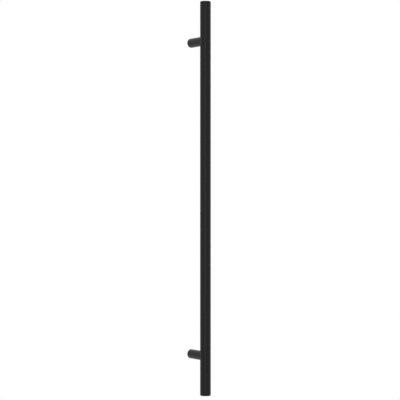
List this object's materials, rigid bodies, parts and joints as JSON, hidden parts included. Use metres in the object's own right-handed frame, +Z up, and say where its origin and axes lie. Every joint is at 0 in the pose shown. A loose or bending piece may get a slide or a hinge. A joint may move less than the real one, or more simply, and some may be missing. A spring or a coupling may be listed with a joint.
{
  "type": "t-bar cabinet pull",
  "caption": "Long round bar pull for a cabinet door or drawer: a capped tube held off the door by coped round posts with tapped feet.",
  "frame": {"origin": "on the door's face, midway between the two mounting holes", "axes": "+Z up along the bar, +X to the right, +Y out of the posts' feet and into the door"},
  "size_m": [0.012, 0.035, 0.44],
  "materials": {
    "black_powder_coat": "matt, very fine texture",
    "bright_steel": "bright zinc plated"
  },
  "bodies": {
    "root": {"bar_tube": "black_powder_coat", "top_end_cap": "black_powder_coat", "bottom_end_cap": "black_powder_coat", "top_post": "black_powder_coat", "bottom_post": "black_powder_coat", "joining_screws": "bright_steel", "top_tube_insert": "bright_steel", "bottom_tube_insert": "bright_steel"}
  },
  "joints": []
}
